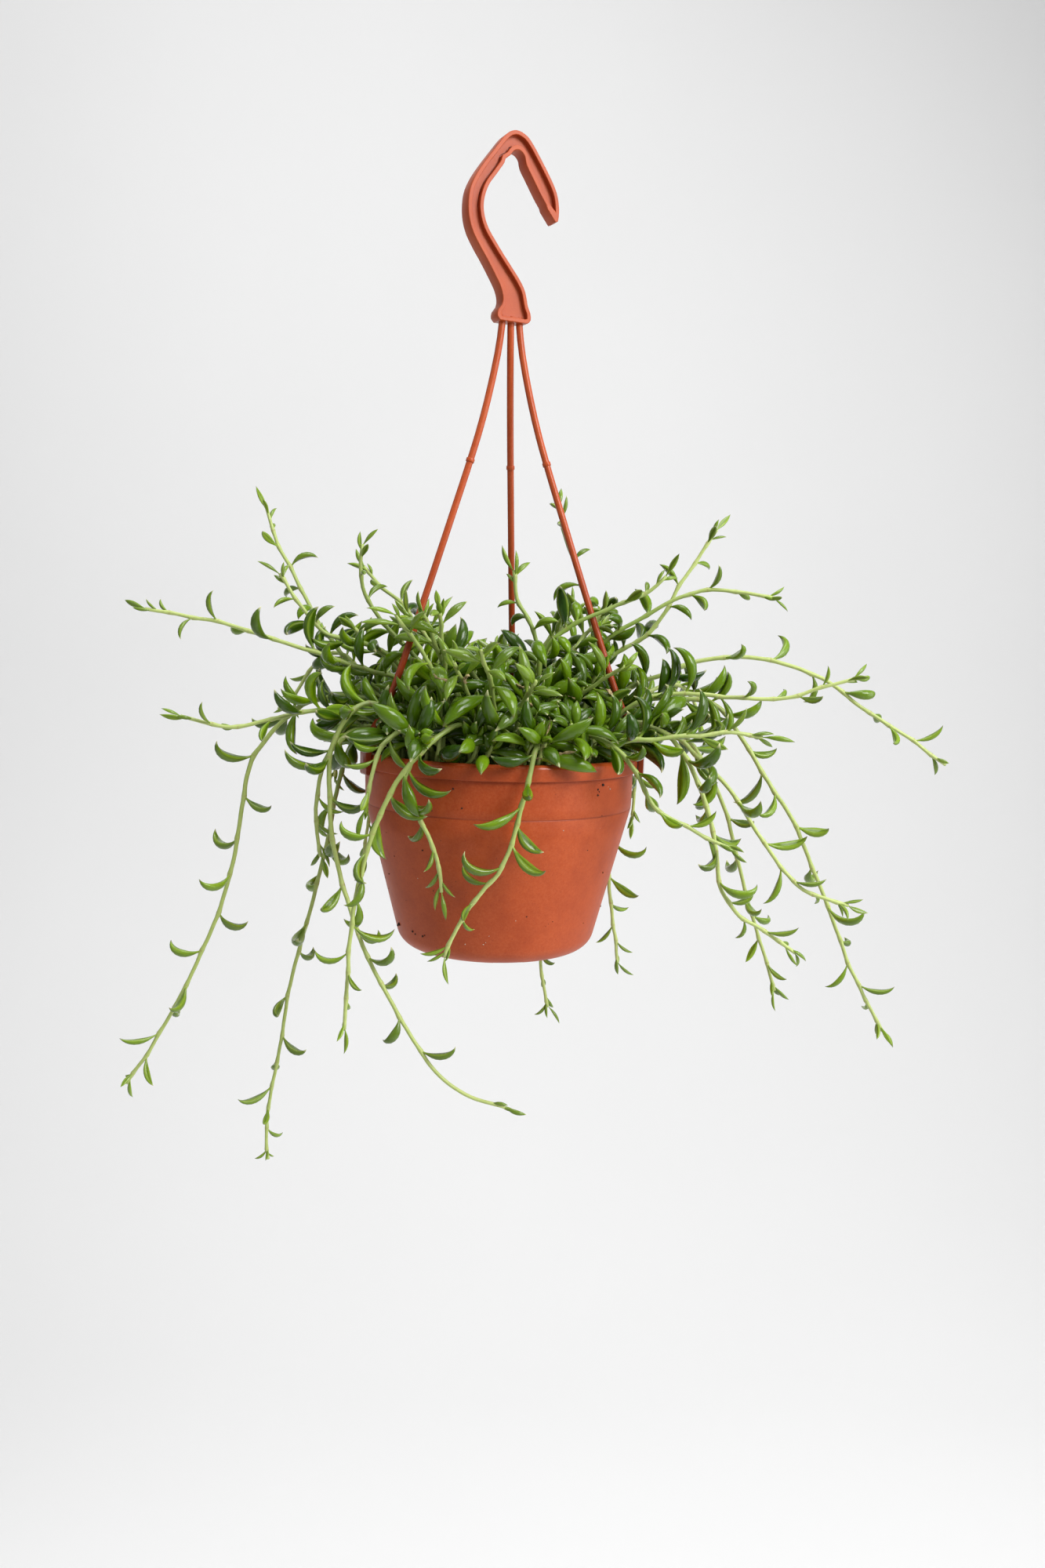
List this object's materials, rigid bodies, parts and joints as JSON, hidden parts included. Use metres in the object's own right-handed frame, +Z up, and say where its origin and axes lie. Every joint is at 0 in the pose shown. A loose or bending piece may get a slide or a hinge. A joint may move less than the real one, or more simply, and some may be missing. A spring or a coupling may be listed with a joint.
{
  "type": "potted string of bananas",
  "caption": "Trailing succulent with crescent leaves on thin stems, planted in a round plastic pot that hangs from a moulded hook and strands.",
  "frame": {"origin": "crook of the hook, where a rail, nail or string carries the plant", "axes": "+Z up along the pot's axis, which passes through the crook; -Y is the side seen in the picture, +X to its right"},
  "size_m": [0.4113, 0.2017, 0.5199],
  "materials": {
    "pot_plastic": "moulded, matte, terracotta coloured",
    "hanger_plastic": "moulded, satin, terracotta coloured",
    "potting_soil": "crumbly, moist peat soil",
    "leaf_green": "smooth, fleshy, glossy leaves on pale stems"
  },
  "bodies": {
    "root": {"hanger": "hanger_plastic", "pot": "pot_plastic", "soil": "potting_soil", "stem_back_1": "leaf_green", "stem_back_10": "leaf_green", "stem_back_2": "leaf_green", "stem_back_3": "leaf_green", "stem_back_4": "leaf_green", "stem_back_5": "leaf_green", "stem_back_6": "leaf_green", "stem_back_7": "leaf_green", "stem_back_8": "leaf_green", "stem_back_9": "leaf_green", "stem_back_hanging": "leaf_green", "stem_back_right_hanging": "leaf_green", "stem_centre_upright": "leaf_green", "stem_crown_1": "leaf_green", "stem_crown_10": "leaf_green", "stem_crown_11": "leaf_green", "stem_crown_12": "leaf_green", "stem_crown_13": "leaf_green", "stem_crown_14": "leaf_green", "stem_crown_15": "leaf_green", "stem_crown_2": "leaf_green", "stem_crown_3": "leaf_green", "stem_crown_4": "leaf_green", "stem_crown_5": "leaf_green", "stem_crown_6": "leaf_green", "stem_crown_7": "leaf_green", "stem_crown_8": "leaf_green", "stem_crown_9": "leaf_green", "stem_front_centre": "leaf_green", "stem_front_left_short": "leaf_green", "stem_front_left_stub": "leaf_green", "stem_front_left_trailing": "leaf_green", "stem_left_arching": "leaf_green", "stem_left_back_tall": "leaf_green", "stem_left_level": "leaf_green", "stem_left_longest": "leaf_green", "stem_left_low": "leaf_green", "stem_left_reaching": "leaf_green", "stem_left_rising": "leaf_green", "stem_left_sweeping": "leaf_green", "stem_left_tall": "leaf_green", "stem_left_trailing": "leaf_green", "stem_right_back_trailing": "leaf_green", "stem_right_front_level": "leaf_green", "stem_right_front_short": "leaf_green", "stem_right_front_trailing": "leaf_green", "stem_right_inner": "leaf_green", "stem_right_level": "leaf_green", "stem_right_reaching": "leaf_green", "stem_right_rising": "leaf_green", "stem_right_spreading": "leaf_green", "stem_right_trailing": "leaf_green", "stem_right_upper": "leaf_green", "stem_right_upright": "leaf_green"}
  },
  "joints": []
}
